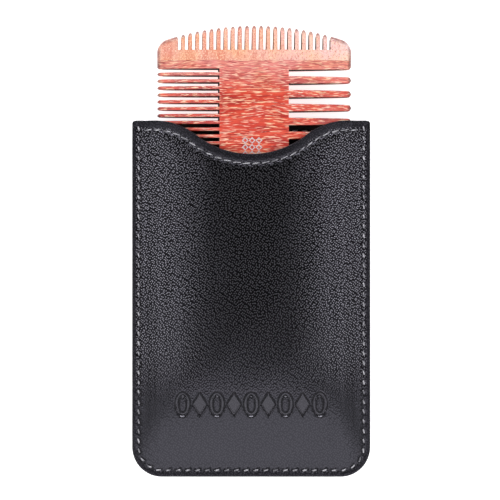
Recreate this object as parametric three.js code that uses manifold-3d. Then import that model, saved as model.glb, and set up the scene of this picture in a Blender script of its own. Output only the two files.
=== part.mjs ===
// A two-sided wooden beard comb half drawn out of its stitched leather sleeve.
// Millimetres. The sleeve lies on its back: +Z points out of its front panel, +Y points out of
// its mouth and +X to the right. The origin is the middle of the sleeve's flat back face.

import * as THREE from "three";
import { mergeVertices } from "three/addons/utils/BufferGeometryUtils.js";
import Module from "manifold-3d";

const wasm = await Module();
wasm.setup();

// Sleeve: outline, layers and seams.
const SLEEVE_HALF_WIDTH = 40;
const SLEEVE_BOTTOM = -60;
const SHOULDER_Y = 59.6;
const BACK_TOP_Y = 59.8;
const BOTTOM_CORNER = 10;
const TOP_CORNER = 1;
const NOTCH_DEPTH = 11.3;
const NOTCH_BOTTOM_RADIUS = 29.6;
const NOTCH_SHOULDER_RADIUS = 23.3;
const LEATHER = 0.9;
const BOARD = 0.7;
const LINING = 0.4;
const LAYER_GAP = 0.15;
const SEAM_HALF_GAP = 0.1;
const SEAM_MARGIN = 2.8;
const WALL_RISE = 3.5;
const WALL_EASE = 0.25;
const BOARD_MARGIN = 11;
const BOARD_RISE = 5.5;
const HEM = 4.2;
const HEM_RISE = 2.4;
const MOUTH_FLARE = 0.7;
const SIDE_STITCH_INSET = 2.2;
const MOUTH_STITCH_INSET = 3.2;
const THREAD_WIDTH = 0.6;
const THREAD_HEIGHT = 0.3;
const THREAD_GAP = 0.1;

// Comb: outline, teeth and thickness. Its own frame has its origin at the middle of its lower
// end, halfway through its thickness, with +Y towards the crown.
const COMB_HALF_WIDTH = 32.7;
const COMB_LENGTH = 105;
const COMB_HALF_THICKNESS = 3.8;
const COMB_OFFSET_X = 1;
const COMB_BOTTOM_Y = -13.24;
const COMB_TRAVEL_IN = 34;
const COMB_CLEARANCE = 0.35;
const SPINE_HALF_WIDTH = 11.6;
const END_RADIUS = 93.7;
const END_CORNER = 3.2;
const SIDE_TIP_SHARE = 0.342;
const CROWN_TIP_SHARE = 0.32;
const TAIL_LENGTH = 36;
const TAIL_ROUND = 28;
const TAIL_SLOPE = 0.128;
const CROWN_TAPER = 21;
const BLEND_POWER = 4;
const GLUE_GAP = 0.1;
const CROWN_HEIGHT = 11.92;
const CROWN_TEETH = 21;
const CROWN_PITCH = 2.385;
const CROWN_SLOT = 1;
const CROWN_SLOT_DEPTH = 8.4;
const FINE_GAPS = 24;
const FINE_PITCH = 2.32;
const FINE_GAP = 1.15;
const FIRST_FINE_GAP = 15.35;
const COARSE_GAPS = 12;
const COARSE_ROOT_GAP = 2.0;
const COARSE_TIP_GAP = 2.5;
const FIRST_COARSE_GAP = 16.25;
const CURVE_STEPS = 2;

const CAVITY_HALF = COMB_HALF_THICKNESS + COMB_CLEARANCE;
const SEAM_Z = CAVITY_HALF + LINING + LAYER_GAP + BOARD + LAYER_GAP + LEATHER;
const TAIL_TOP_Y = COMB_BOTTOM_Y - COMB_TRAVEL_IN + TAIL_LENGTH;
const BOARD_BOTTOM_Y = TAIL_TOP_Y - TAIL_ROUND;

// 0 below low, 1 above high and an even S-curve between them.
function smooth(low, high, value) {
  const t = Math.min(Math.max((value - low) / (high - low), 0), 1);
  return t * t * (3 - 2 * t);
}

// 0 below low, 1 above high and a straight slope between them, eased a little at both ends.
function ramp(low, high, value) {
  const t = Math.min(Math.max((value - low) / (high - low), 0), 1);
  return t - (WALL_EASE / (2 * Math.PI)) * Math.sin(2 * Math.PI * t);
}

// The smaller of two shares of the full thickness, with the corner between them rounded off.
function blend(a, b) {
  return (a ** -BLEND_POWER + b ** -BLEND_POWER - 1) ** (-1 / BLEND_POWER);
}

// Share of the comb's full thickness at a distance from its centre line.
function sideShare(x) {
  const past = Math.max(Math.abs(x) - SPINE_HALF_WIDTH, 0) / (COMB_HALF_WIDTH - SPINE_HALF_WIDTH);
  return 1 - (1 - SIDE_TIP_SHARE) * past ** 1.5;
}

// Share of the comb's full thickness at a height above its lower end, where it tapers away.
function tailShare(height) {
  const past = Math.max(TAIL_LENGTH - height, 0);
  const drop = past < TAIL_ROUND ? (past * past) / (2 * TAIL_ROUND) : past - TAIL_ROUND / 2;
  return Math.max(1 - (TAIL_SLOPE * drop) / COMB_HALF_THICKNESS, 0.02);
}

// Share of the comb's full thickness towards the tips of its crown.
function crownShare(height) {
  const past = Math.max(height - (COMB_LENGTH - CROWN_TAPER), 0) / CROWN_TAPER;
  return 1 - (1 - CROWN_TIP_SHARE) * past ** 1.7;
}

function combHalf(x, y) {
  return COMB_HALF_THICKNESS * blend(sideShare(x), tailShare(y) * crownShare(y));
}

// Distance in from the sleeve's sides, bottom edge and rounded bottom corners.
function insideEdge(x, y) {
  const acrossCorner = Math.abs(x) - (SLEEVE_HALF_WIDTH - BOTTOM_CORNER);
  const downCorner = SLEEVE_BOTTOM + BOTTOM_CORNER - y;
  if (acrossCorner > 0 && downCorner > 0) {
    return BOTTOM_CORNER - Math.hypot(acrossCorner, downCorner);
  }
  return Math.min(SLEEVE_HALF_WIDTH - Math.abs(x), y - SLEEVE_BOTTOM);
}

// The sleeve's lower edge: straight, with a quarter round at each corner.
function lowerEdge(x) {
  const across = Math.max(Math.abs(x) - (SLEEVE_HALF_WIDTH - BOTTOM_CORNER), 0);
  return SLEEVE_BOTTOM + BOTTOM_CORNER - Math.sqrt(BOTTOM_CORNER ** 2 - across ** 2);
}

function topCornerDrop(x) {
  const across = Math.max(Math.abs(x) - (SLEEVE_HALF_WIDTH - TOP_CORNER), 0);
  return TOP_CORNER - Math.sqrt(TOP_CORNER ** 2 - across ** 2);
}

// The front panel's upper edge: a thumb notch with a round bottom and two rounded shoulders.
function frontTop(x) {
  const radii = NOTCH_BOTTOM_RADIUS + NOTCH_SHOULDER_RADIUS;
  const shoulderX = Math.sqrt(radii ** 2 - (radii - NOTCH_DEPTH) ** 2);
  const meetX = (shoulderX * NOTCH_BOTTOM_RADIUS) / radii;
  const across = Math.abs(x);
  if (across < meetX) {
    const rise = NOTCH_BOTTOM_RADIUS - Math.sqrt(NOTCH_BOTTOM_RADIUS ** 2 - across ** 2);
    return SHOULDER_Y - NOTCH_DEPTH + rise;
  }
  const left = Math.max(shoulderX - across, 0);
  const fall = NOTCH_SHOULDER_RADIUS - Math.sqrt(NOTCH_SHOULDER_RADIUS ** 2 - left ** 2);
  return SHOULDER_Y - fall - topCornerDrop(x);
}

function backTop(x) {
  return BACK_TOP_Y - topCornerDrop(x);
}

// Half the height of the pocket, measured from the plane of the side seam: it clears the comb
// all along its travel, opens a little at the mouth and closes at the seam.
function pocketHalf(x, y, top) {
  const across = Math.max(Math.abs(x) - COMB_OFFSET_X, 0);
  const lens = blend(sideShare(across), tailShare(y - COMB_BOTTOM_Y + COMB_TRAVEL_IN));
  const flare = MOUTH_FLARE * (1 - smooth(HEM, HEM + HEM_RISE, top(x) - y));
  const open = COMB_HALF_THICKNESS * lens + COMB_CLEARANCE + flare;
  const wall = ramp(SEAM_MARGIN, SEAM_MARGIN + WALL_RISE, insideEdge(x, y));
  return SEAM_HALF_GAP + (open - SEAM_HALF_GAP) * wall;
}

// The leather's inner face: it leaves room for the board, and lies on the lining at every edge.
function leatherInside(x, y, top) {
  const rise = BOARD_MARGIN - BOARD_RISE;
  const sides = smooth(rise, BOARD_MARGIN, SLEEVE_HALF_WIDTH - Math.abs(x));
  const bottom = smooth(SLEEVE_BOTTOM + SEAM_MARGIN, BOARD_BOTTOM_Y, y);
  const mouth = smooth(HEM, HEM + HEM_RISE, top(x) - y);
  const room = (BOARD + LAYER_GAP) * sides * bottom * mouth;
  return pocketHalf(x, y, top) + LINING + LAYER_GAP + room;
}

// Where the sheets have their columns of vertices, from one side of the sleeve to the other.
function sheetColumns() {
  const flat = SPINE_HALF_WIDTH + COMB_OFFSET_X;
  const boardEdge = SLEEVE_HALF_WIDTH - BOARD_MARGIN;
  const seam = SLEEVE_HALF_WIDTH - SEAM_MARGIN;
  const wallTop = seam - WALL_RISE;
  const half = [flat / 2];
  const lensSteps = 4;
  for (let i = 0; i <= lensSteps; i += 1) {
    half.push(flat + ((boardEdge - flat) * i) / lensSteps);
  }
  half.push(wallTop, (wallTop + seam) / 2, seam);
  half.push(SLEEVE_HALF_WIDTH - TOP_CORNER, SLEEVE_HALF_WIDTH);
  return [...half.map((x) => -x).reverse(), 0, ...half];
}

// The rows of a sheet over the tapering part of the pocket, from the board's lower edge up.
function taperRows() {
  const rows = [];
  const steps = 4;
  for (let i = 0; i <= steps; i += 1) {
    rows.push(() => BOARD_BOTTOM_Y + (TAIL_ROUND * i) / steps);
  }
  return rows;
}

function panelRows(top) {
  return [
    lowerEdge,
    (x) => lowerEdge(x) + SEAM_MARGIN,
    (x) => lowerEdge(x) + SEAM_MARGIN + WALL_RISE / 2,
    (x) => lowerEdge(x) + SEAM_MARGIN + WALL_RISE,
    ...taperRows(),
    (x) => top(x) - HEM - HEM_RISE,
    (x) => top(x) - HEM,
    top,
  ];
}

// Splits the quads of a box's low face along the same diagonals as those of its high face, so
// that the layers of a panel stay parallel.
function matchDiagonals(geometry) {
  const lowFace = geometry.groups[5];
  const index = geometry.index;
  for (let i = lowFace.start; i < lowFace.start + lowFace.count; i += 6) {
    const first = index.getX(i);
    const opposite = index.getX(i + 4);
    index.setX(i + 2, opposite);
    index.setX(i + 3, first);
    index.setX(i + 4, opposite);
  }
}

// A closed sheet with columns at the given x, rows along the curves y(x), and a low and a high
// face. It is a box whose vertices are moved to their places.
function sheet(columns, rows, low, high) {
  const across = columns.length - 1;
  const along = rows.length - 1;
  const geometry = new THREE.BoxGeometry(1, 1, 1, across, along, 1);
  const position = geometry.attributes.position;
  for (let i = 0; i < position.count; i += 1) {
    const x = columns[Math.round((position.getX(i) + 0.5) * across)];
    const y = rows[Math.round((position.getY(i) + 0.5) * along)](x);
    const face = position.getZ(i) > 0 ? high : low;
    position.setXYZ(i, x, y, face(x, y));
  }
  matchDiagonals(geometry);
  return geometry;
}

// A sheet of one side of the sleeve between two heights above the seam plane. The back side
// (sign -1) is the front side turned over.
function layer(sign, columns, rows, inner, outer) {
  const innerFace = (x, y) => sign * inner(x, y);
  const outerFace = (x, y) => sign * outer(x, y);
  return sign > 0
    ? sheet(columns, rows, innerFace, outerFace)
    : sheet(columns, rows, outerFace, innerFace);
}

function leatherLayer(sign, top) {
  const inner = (x, y) => leatherInside(x, y, top);
  return layer(sign, sheetColumns(), panelRows(top), inner, (x, y) => inner(x, y) + LEATHER);
}

function liningLayer(sign, top) {
  const inner = (x, y) => pocketHalf(x, y, top);
  return layer(sign, sheetColumns(), panelRows(top), inner, (x, y) => inner(x, y) + LINING);
}

function boardLayer(sign, top) {
  const widest = SLEEVE_HALF_WIDTH - BOARD_MARGIN;
  const columns = sheetColumns().filter((x) => Math.abs(x) <= widest);
  const rows = [...taperRows(), (x) => top(x) - HEM - HEM_RISE];
  const inner = (x, y) => pocketHalf(x, y, top) + LINING + LAYER_GAP;
  return layer(sign, columns, rows, inner, (x, y) => inner(x, y) + BOARD);
}

// The thread of the side seam: a flat band down one side, round the bottom and up the other.
function sideThread(sign) {
  const shape = new THREE.Shape();
  const topY = SHOULDER_Y - TOP_CORNER;
  const outerX = SLEEVE_HALF_WIDTH - SIDE_STITCH_INSET + THREAD_WIDTH / 2;
  const innerX = outerX - THREAD_WIDTH;
  const cornerX = SLEEVE_HALF_WIDTH - BOTTOM_CORNER;
  const cornerY = SLEEVE_BOTTOM + BOTTOM_CORNER;
  const quarter = Math.PI / 2;
  shape.moveTo(-outerX, topY);
  shape.absarc(-cornerX, cornerY, outerX - cornerX, 2 * quarter, 3 * quarter, false);
  shape.absarc(cornerX, cornerY, outerX - cornerX, 3 * quarter, 4 * quarter, false);
  shape.lineTo(outerX, topY);
  shape.lineTo(innerX, topY);
  shape.absarc(cornerX, cornerY, innerX - cornerX, 4 * quarter, 3 * quarter, true);
  shape.absarc(-cornerX, cornerY, innerX - cornerX, 3 * quarter, 2 * quarter, true);
  shape.lineTo(-innerX, topY);
  const options = { depth: THREAD_HEIGHT, bevelEnabled: false, curveSegments: 5 };
  const geometry = new THREE.ExtrudeGeometry(shape, options);
  const lift = SEAM_HALF_GAP + LINING + LAYER_GAP + LEATHER + THREAD_GAP;
  geometry.translate(0, 0, sign > 0 ? lift : -lift - THREAD_HEIGHT);
  return geometry;
}

// A band of mouth thread along the hem, from x = -reach to +reach, on a face of the panel.
function mouthThread(sign, top, reach, low, high) {
  const columns = sheetColumns().filter((x) => Math.abs(x) <= reach);
  const rows = [
    (x) => top(x) - MOUTH_STITCH_INSET - THREAD_WIDTH / 2,
    (x) => top(x) - MOUTH_STITCH_INSET + THREAD_WIDTH / 2,
  ];
  return layer(sign, columns, rows, low, high);
}

function mouthNeedleThread(sign, top) {
  const low = (x, y) => leatherInside(x, y, top) + LEATHER + THREAD_GAP;
  const reach = SLEEVE_HALF_WIDTH - SEAM_MARGIN;
  return mouthThread(sign, top, reach, low, (x, y) => low(x, y) + THREAD_HEIGHT);
}

function mouthBobbinThread(sign, top) {
  const high = (x, y) => pocketHalf(x, y, top) - THREAD_GAP;
  const reach = SLEEVE_HALF_WIDTH - SEAM_MARGIN - WALL_RISE;
  return mouthThread(sign, top, reach, (x, y) => high(x, y) - THREAD_HEIGHT, high);
}

// Height of the comb's bowed end above its lowest point, at a distance from the centre line.
function endBow(x) {
  return END_RADIUS - Math.sqrt(END_RADIUS ** 2 - x ** 2);
}

// The left edge of the comb's body, from its top down: teeth pointing left, with round tips.
// gaps holds the centre height of each gap; a gap is tipGap wide at the tips.
function toothedEdge(path, gaps, rootGap, tipGap) {
  const spaces = gaps.length - 1;
  const tooth = (gaps[0] - gaps[spaces]) / spaces - tipGap;
  const tipX = -COMB_HALF_WIDTH;
  const shoulderX = tipX + tooth * 0.8;
  for (let i = 0; i < gaps.length; i += 1) {
    const upper = gaps[i] + tipGap / 2;
    const lower = gaps[i] - tipGap / 2;
    path.lineTo(tipX, upper + tooth / 2);
    path.quadraticCurveTo(tipX, upper, shoulderX, upper);
    path.lineTo(-SPINE_HALF_WIDTH, gaps[i] + rootGap / 2);
    path.lineTo(-SPINE_HALF_WIDTH, gaps[i] - rootGap / 2);
    path.lineTo(shoulderX, lower);
    path.quadraticCurveTo(tipX, lower, tipX, lower - tooth / 2);
  }
}

// The left half of the body's outline, from the glue line down to the lowest point.
function bodyHalf(count, pitch, firstGap, rootGap, tipGap) {
  const glueY = COMB_LENGTH - CROWN_HEIGHT - GLUE_GAP / 2;
  const gaps = [];
  for (let i = 0; i < count; i += 1) {
    gaps.push(COMB_LENGTH - firstGap - i * pitch);
  }
  const path = new THREE.Path();
  path.moveTo(-COMB_HALF_WIDTH, glueY);
  toothedEdge(path, gaps, rootGap, tipGap);
  const cornerX = COMB_HALF_WIDTH - END_CORNER;
  path.lineTo(-COMB_HALF_WIDTH, endBow(COMB_HALF_WIDTH) + END_CORNER);
  path.quadraticCurveTo(-COMB_HALF_WIDTH, endBow(COMB_HALF_WIDTH), -cornerX, endBow(cornerX));
  const bowSteps = 3;
  for (let i = 1; i <= bowSteps; i += 1) {
    const x = cornerX * (1 - i / bowSteps);
    path.lineTo(-x, endBow(x));
  }
  return path.getPoints(CURVE_STEPS);
}

function mirrored(points) {
  return points.map((point) => new THREE.Vector2(-point.x, point.y));
}

// The body's outline: fine teeth on the left, coarse teeth on the right.
function bodyOutline() {
  const left = bodyHalf(FINE_GAPS, FINE_PITCH, FIRST_FINE_GAP, FINE_GAP, FINE_GAP);
  const coarsePitch = FINE_PITCH * 2;
  const right = mirrored(
    bodyHalf(COARSE_GAPS, coarsePitch, FIRST_COARSE_GAP, COARSE_ROOT_GAP, COARSE_TIP_GAP),
  );
  return new THREE.Shape([...left, ...right.reverse().slice(1)]);
}

// The crown's outline: a bowed row of short teeth between two solid guards.
function crownOutline() {
  const glueY = COMB_LENGTH - CROWN_HEIGHT + GLUE_GAP / 2;
  const rootY = COMB_LENGTH - CROWN_SLOT_DEPTH;
  const tipY = (x) => COMB_LENGTH - endBow(x);
  const tooth = CROWN_PITCH - CROWN_SLOT;
  const cornerX = COMB_HALF_WIDTH - END_CORNER;
  const shape = new THREE.Shape();
  shape.moveTo(-COMB_HALF_WIDTH, glueY);
  shape.lineTo(COMB_HALF_WIDTH, glueY);
  shape.lineTo(COMB_HALF_WIDTH, tipY(COMB_HALF_WIDTH) - END_CORNER);
  shape.quadraticCurveTo(COMB_HALF_WIDTH, tipY(COMB_HALF_WIDTH), cornerX, tipY(cornerX));
  for (let i = CROWN_TEETH; i >= 0; i -= 1) {
    const slotX = (i - CROWN_TEETH / 2) * CROWN_PITCH;
    const right = slotX + CROWN_SLOT / 2;
    const left = slotX - CROWN_SLOT / 2;
    shape.quadraticCurveTo(right, tipY(right), right, tipY(right) - tooth);
    shape.lineTo(right, rootY);
    shape.lineTo(left, rootY);
    shape.lineTo(left, tipY(left) - tooth);
    shape.quadraticCurveTo(left, tipY(left), left - tooth / 2, tipY(left - tooth / 2));
  }
  shape.lineTo(-cornerX, tipY(cornerX));
  shape.quadraticCurveTo(
    -COMB_HALF_WIDTH,
    tipY(COMB_HALF_WIDTH),
    -COMB_HALF_WIDTH,
    tipY(COMB_HALF_WIDTH) - END_CORNER,
  );
  return shape;
}

// The comb's thickness everywhere, as a solid wider and longer than its outline.
function combLens() {
  const past = 1;
  const wide = COMB_HALF_WIDTH + past;
  const half = [];
  const sideSteps = 4;
  for (let i = 0; i < sideSteps; i += 1) {
    half.push(SPINE_HALF_WIDTH + ((COMB_HALF_WIDTH - SPINE_HALF_WIDTH) * i) / sideSteps);
  }
  half.push(wide);
  const heights = [-past];
  const tailSteps = 4;
  for (let i = 0; i <= tailSteps; i += 1) {
    heights.push(TAIL_LENGTH - TAIL_ROUND + (TAIL_ROUND * i) / tailSteps);
  }
  const crownSteps = 4;
  for (let i = 0; i < crownSteps; i += 1) {
    heights.push(COMB_LENGTH - CROWN_TAPER + (CROWN_TAPER * i) / crownSteps);
  }
  heights.push(COMB_LENGTH + past);
  const columns = [...half.map((x) => -x).reverse(), ...half];
  const rows = heights.map((height) => () => height);
  return sheet(columns, rows, (x, y) => -combHalf(x, y), combHalf);
}

function toSolid(geometry) {
  const bare = geometry.clone();
  bare.deleteAttribute("normal");
  bare.deleteAttribute("uv");
  const merged = mergeVertices(bare);
  const vertProperties = new Float32Array(merged.attributes.position.array);
  const triVerts = new Uint32Array(merged.index.array);
  return new wasm.Manifold(new wasm.Mesh({ numProp: 3, vertProperties, triVerts }));
}

function toGeometry(solid) {
  const mesh = solid.getMesh();
  const geometry = new THREE.BufferGeometry();
  geometry.setAttribute("position", new THREE.BufferAttribute(mesh.vertProperties, 3));
  geometry.setIndex(new THREE.BufferAttribute(mesh.triVerts, 1));
  return geometry;
}

// A board of the comb: its outline cut right through, brought to the comb's thickness.
function combBoard(outline, lens) {
  const depth = COMB_HALF_THICKNESS * 2 + 2;
  const options = { depth, bevelEnabled: false, curveSegments: CURVE_STEPS };
  const blank = new THREE.ExtrudeGeometry(outline, options);
  blank.translate(0, 0, -depth / 2);
  return toGeometry(toSolid(blank).intersect(lens));
}

function finish(color, roughness) {
  return new THREE.MeshStandardMaterial({ color, roughness, metalness: 0 });
}

function piece(name, geometry, material) {
  const mesh = new THREE.Mesh(geometry, material);
  mesh.name = name;
  return mesh;
}

function buildComb() {
  const lens = toSolid(combLens());
  const comb = new THREE.Group();
  comb.add(piece("comb_body", combBoard(bodyOutline(), lens), finish(0xde6d5b, 0.4)));
  comb.add(piece("comb_crown", combBoard(crownOutline(), lens), finish(0xf6b99f, 0.4)));
  comb.position.set(COMB_OFFSET_X, COMB_BOTTOM_Y, SEAM_Z);
  return comb;
}

// One side of the sleeve: leather, board, lining and the two threads of its mouth.
function buildPanel(side, sign, top) {
  const panel = new THREE.Group();
  panel.add(piece(`${side}_leather`, leatherLayer(sign, top), finish(0x28272c, 0.45)));
  panel.add(piece(`${side}_board`, boardLayer(sign, top), finish(0x8f8374, 0.9)));
  panel.add(piece(`${side}_lining`, liningLayer(sign, top), finish(0x1c1c1f, 0.95)));
  const thread = () => finish(0x8b8a92, 0.6);
  panel.add(piece(`${side}_mouth_needle_thread`, mouthNeedleThread(sign, top), thread()));
  panel.add(piece(`${side}_mouth_bobbin_thread`, mouthBobbinThread(sign, top), thread()));
  return panel;
}

function buildSleeve() {
  const sleeve = new THREE.Group();
  sleeve.add(buildPanel("front", 1, frontTop));
  sleeve.add(buildPanel("back", -1, backTop));
  sleeve.add(piece("side_seam_needle_thread", sideThread(1), finish(0x8b8a92, 0.6)));
  sleeve.add(piece("side_seam_bobbin_thread", sideThread(-1), finish(0x8b8a92, 0.6)));
  sleeve.position.z = SEAM_Z;
  return sleeve;
}

const part = new THREE.Group();
part.add(buildSleeve());
part.add(buildComb());

export default part;
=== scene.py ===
import math

import bmesh
import bpy
import numpy as np
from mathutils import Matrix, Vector


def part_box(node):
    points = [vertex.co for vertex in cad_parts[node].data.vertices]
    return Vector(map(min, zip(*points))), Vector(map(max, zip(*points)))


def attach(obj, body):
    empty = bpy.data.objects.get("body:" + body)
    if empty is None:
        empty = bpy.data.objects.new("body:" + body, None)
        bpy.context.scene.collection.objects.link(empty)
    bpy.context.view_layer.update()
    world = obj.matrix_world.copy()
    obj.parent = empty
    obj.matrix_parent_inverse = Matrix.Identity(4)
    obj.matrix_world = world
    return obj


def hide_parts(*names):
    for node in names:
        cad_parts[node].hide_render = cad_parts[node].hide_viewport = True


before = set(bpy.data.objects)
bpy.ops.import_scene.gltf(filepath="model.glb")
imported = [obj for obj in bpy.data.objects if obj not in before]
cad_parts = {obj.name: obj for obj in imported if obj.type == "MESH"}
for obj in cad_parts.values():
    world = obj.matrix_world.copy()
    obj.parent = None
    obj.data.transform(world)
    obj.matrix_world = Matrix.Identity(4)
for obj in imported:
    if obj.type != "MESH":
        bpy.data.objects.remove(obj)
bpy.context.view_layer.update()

MM = 0.001
FLOOR_HALF = 6000


def box_mm(node):
    low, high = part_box(node)
    return np.array(low) / MM, np.array(high) / MM


# Sizes of the sleeve, from the frame.
FRONT_LOW, FRONT_HIGH = box_mm("front_leather")
BACK_LOW, BACK_HIGH = box_mm("back_leather")
HALF_WIDTH = FRONT_HIGH[0]
SLEEVE_BOTTOM = FRONT_LOW[1]
SHOULDER_Y = FRONT_HIGH[1]
BACK_TOP_Y = BACK_HIGH[1]
SEAM_Z = (FRONT_HIGH[2] + BACK_LOW[2]) / 2

# Sizes of the comb, from the frame. Its own frame has its origin at the middle of its lower
# end, halfway through its thickness, with +Y towards the crown.
BODY_LOW, BODY_HIGH = box_mm("comb_body")
CROWN_LOW, CROWN_HIGH = box_mm("comb_crown")
COMB_X = (BODY_LOW[0] + BODY_HIGH[0]) / 2
COMB_BOTTOM_Y = BODY_LOW[1]
COMB_HALF_WIDTH = (BODY_HIGH[0] - BODY_LOW[0]) / 2
COMB_HALF_THICKNESS = (BODY_HIGH[2] - BODY_LOW[2]) / 2
COMB_LENGTH = CROWN_HIGH[1] - BODY_LOW[1]
GLUE_Y = (CROWN_LOW[1] + BODY_HIGH[1]) / 2 - COMB_BOTTOM_Y

# The sleeve's own measures.
BOTTOM_CORNER = 10
TOP_CORNER = 1
NOTCH_DEPTH = 11.3
NOTCH_BOTTOM_RADIUS = 29.6
NOTCH_SHOULDER_RADIUS = 23.3
LEATHER = 0.9
BOARD = 0.7
LINING = 0.4
LAYER_GAP = 0.15
CONTACT = 0.03
SEAM_HALF_GAP = 0.1
SEAM_MARGIN = 2.8
WALL_RISE = 3.5
WALL_EASE = 0.25
BOARD_MARGIN = 11
BOARD_RISE = 5.5
HEM = 4.2
HEM_RISE = 2.4
MOUTH_FLARE = 0.7
SIDE_STITCH_INSET = 2.2
MOUTH_STITCH_INSET = 3.2
EDGE_ROUND = 0.3
SOFTENING = 8
FOOT_FILL = 1.5
WAVE_DEPTH = 0.05
PANEL_MIDDLE = 10
PANEL_STEP = 0.5
BAND_STEP = 0.24
LINING_STEP = 1.0

# Stitching.
STITCH_PITCH = 3.27
SIDE_STITCH_LENGTH = 1.5
MOUTH_STITCH_LENGTH = 2.35
STITCH_RADIUS = 0.27
SIDE_STITCH_SLANT = math.radians(15)
MOUTH_STITCH_SLANT = math.radians(7)
MOUTH_STITCH_RADIUS = 0.21
MOUTH_SEAM_END = 1.6
STITCH_STEPS = 12
STITCH_SIDES = 8
STITCH_OVERRUN = 0.12
STITCH_THINNING = 0.28
HOLE_DEPTH = 0.5
HOLE_RADIUS = 0.46
CHANNEL_DEPTH = 0.24
CHANNEL_HALF_WIDTH = 0.6
CHANNEL_END = math.sqrt(0.3)

# The band pressed into the front panel: oval rings and lozenges by turns. PRESS_WALL is the
# width of the sloping walls of the pressed shapes.
BAND_Y = -35.4
BAND_HALF_LENGTH = 25.8
BAND_FIGURES = 9
FIGURE_HALF_HEIGHT = 4.1
FIGURE_GAP = 0.5
RING_WIDTH = 1.4
PRESS_DEPTH = 0.54
PRESS_WALL = 0.8

# The leather's grain, and how far in from its edges it is rubbed smooth. Paler pebbles, a
# painted highlight standing in for the glints of the grain, come in outwards, between two
# distances from the middle, and upwards, between two heights. A flat grey, a painted even sheen,
# evens out the pebbles up to one height, and they are fully grained from another.
GRAIN_MM = (0.66, 0.8, 0.8)
GRAIN_TURN = math.radians(35)
GRAIN_RANDOMNESS = 0.65
SIDE_RUB = 1.5
MOUTH_RUB = 2.4
PAINTED_GLINT_OUT = (13, 29)
PAINTED_GLINT_UP = (-34, -18)
EVEN_SHEEN_TO_GRAINED = (-38, -26)
EVEN_SHEEN_SHARE = 0.55
EVEN_SHEEN_TONE = (36, 36, 39)
LEATHER_GLOSS = ((176, 174, 190), 1.55)

# The comb's own measures.
COMB_TRAVEL_IN = 34
COMB_CLEARANCE = 0.35
SPINE_HALF_WIDTH = 11.6
END_RADIUS = 93.7
END_CORNER = 3.2
SIDE_TIP_SHARE = 0.342
SIDE_TAPER_POWER = 1.5
CROWN_TIP_SHARE = 0.32
CROWN_TAPER_POWER = 1.7
TAIL_LENGTH = 36
TAIL_ROUND = 28
TAIL_SLOPE = 0.128
LEAST_SHARE = 0.02
CROWN_TAPER = 21
BLEND_POWER = 4
RIM_ROUND = 1.3
CROWN_TEETH = 21
CROWN_PITCH = 2.385
CROWN_SLOT = 1
CROWN_SLOT_DEPTH = 8.4
CROWN_TIP = 1.5
CROWN_TIP_POWER = 2.1
CROWN_SLANT = 0.2
FINE_GAPS = 24
FINE_PITCH = 2.32
FINE_GAP = 1.15
FIRST_FINE_GAP = 15.35
FINE_TIP = 0.8
COARSE_GAPS = 12
COARSE_ROOT_GAP = 2.0
COARSE_TIP_GAP = 2.5
FIRST_COARSE_GAP = 16.25
COARSE_TIP = 1.0
SIDE_TIP_POWER = 2.2
TOOTH_ROUND = 0.42
SAW_SLANT = 0.68
SLOT_LEAN = 0.05
TIP_FLAT = 0.05
SAW_PAST_FACE = 1.5
SAW_PAST_SIDE = 0.6
SAW_PAST_CROWN = 0.8
SAWN_DEPTH = 1.5
SAWN_TILT = 0.4
SHARP_ANGLE = math.radians(38)
COLUMNS_EACH_SIDE = 36
BODY_ROWS = 80
CROWN_ROWS = 14

# How far in from the comb's sides and crown the painted shade on its rim starts, and where it is full.
SIDE_RIM_SHADE = (1.5, 0.3)
CROWN_RIM_SHADE = (1.7, 0.5)

# The stamp on the comb's spine.
PRINT_Y = 50.6
PRINT_WIDTH = 6.9
PRINT_COUNT = 3
PRINT_LINE = 0.5
PRINT_OFFSET = 0.7

TAIL_TOP_Y = COMB_BOTTOM_Y - COMB_TRAVEL_IN + TAIL_LENGTH
BOARD_BOTTOM_Y = TAIL_TOP_Y - TAIL_ROUND


# ---- shared shape functions


def smooth(low, high, value):
    """0 below low, 1 above high and an even S-curve between them."""
    t = np.clip((value - low) / (high - low), 0, 1)
    return t * t * (3 - 2 * t)


def ramp(low, high, value):
    """0 below low, 1 above high and a straight slope between them, eased at both ends."""
    t = np.clip((value - low) / (high - low), 0, 1)
    return t - WALL_EASE / (2 * math.pi) * np.sin(2 * math.pi * t)


def blend(a, b):
    """The smaller of two shares of the full thickness, with the corner between them rounded."""
    return (a**-BLEND_POWER + b**-BLEND_POWER - 1) ** (-1 / BLEND_POWER)


def side_share(x):
    past = np.maximum(np.abs(x) - SPINE_HALF_WIDTH, 0) / (COMB_HALF_WIDTH - SPINE_HALF_WIDTH)
    return 1 - (1 - SIDE_TIP_SHARE) * past**SIDE_TAPER_POWER


def tail_share(height):
    past = np.maximum(TAIL_LENGTH - height, 0)
    drop = np.where(past < TAIL_ROUND, past * past / (2 * TAIL_ROUND), past - TAIL_ROUND / 2)
    return np.maximum(1 - TAIL_SLOPE * drop / COMB_HALF_THICKNESS, LEAST_SHARE)


def crown_share(height):
    past = np.maximum(height - (COMB_LENGTH - CROWN_TAPER), 0) / CROWN_TAPER
    return 1 - (1 - CROWN_TIP_SHARE) * past**CROWN_TAPER_POWER


def inside_corner(across, down, radius):
    """Distance in from a rounded corner, where both distances past its centre are positive."""
    rounded = radius - np.hypot(np.maximum(across, 0), np.maximum(down, 0))
    straight = radius - np.maximum(across, down)
    return np.where((across > 0) & (down > 0), rounded, straight)


def corner_rise(x, half_width, radius):
    """How far a rounded corner lifts a straight edge at x."""
    across = np.clip(np.abs(x) - (half_width - radius), 0, radius)
    return radius - np.sqrt(radius**2 - across**2)


# ---- the sleeve's shape


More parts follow.
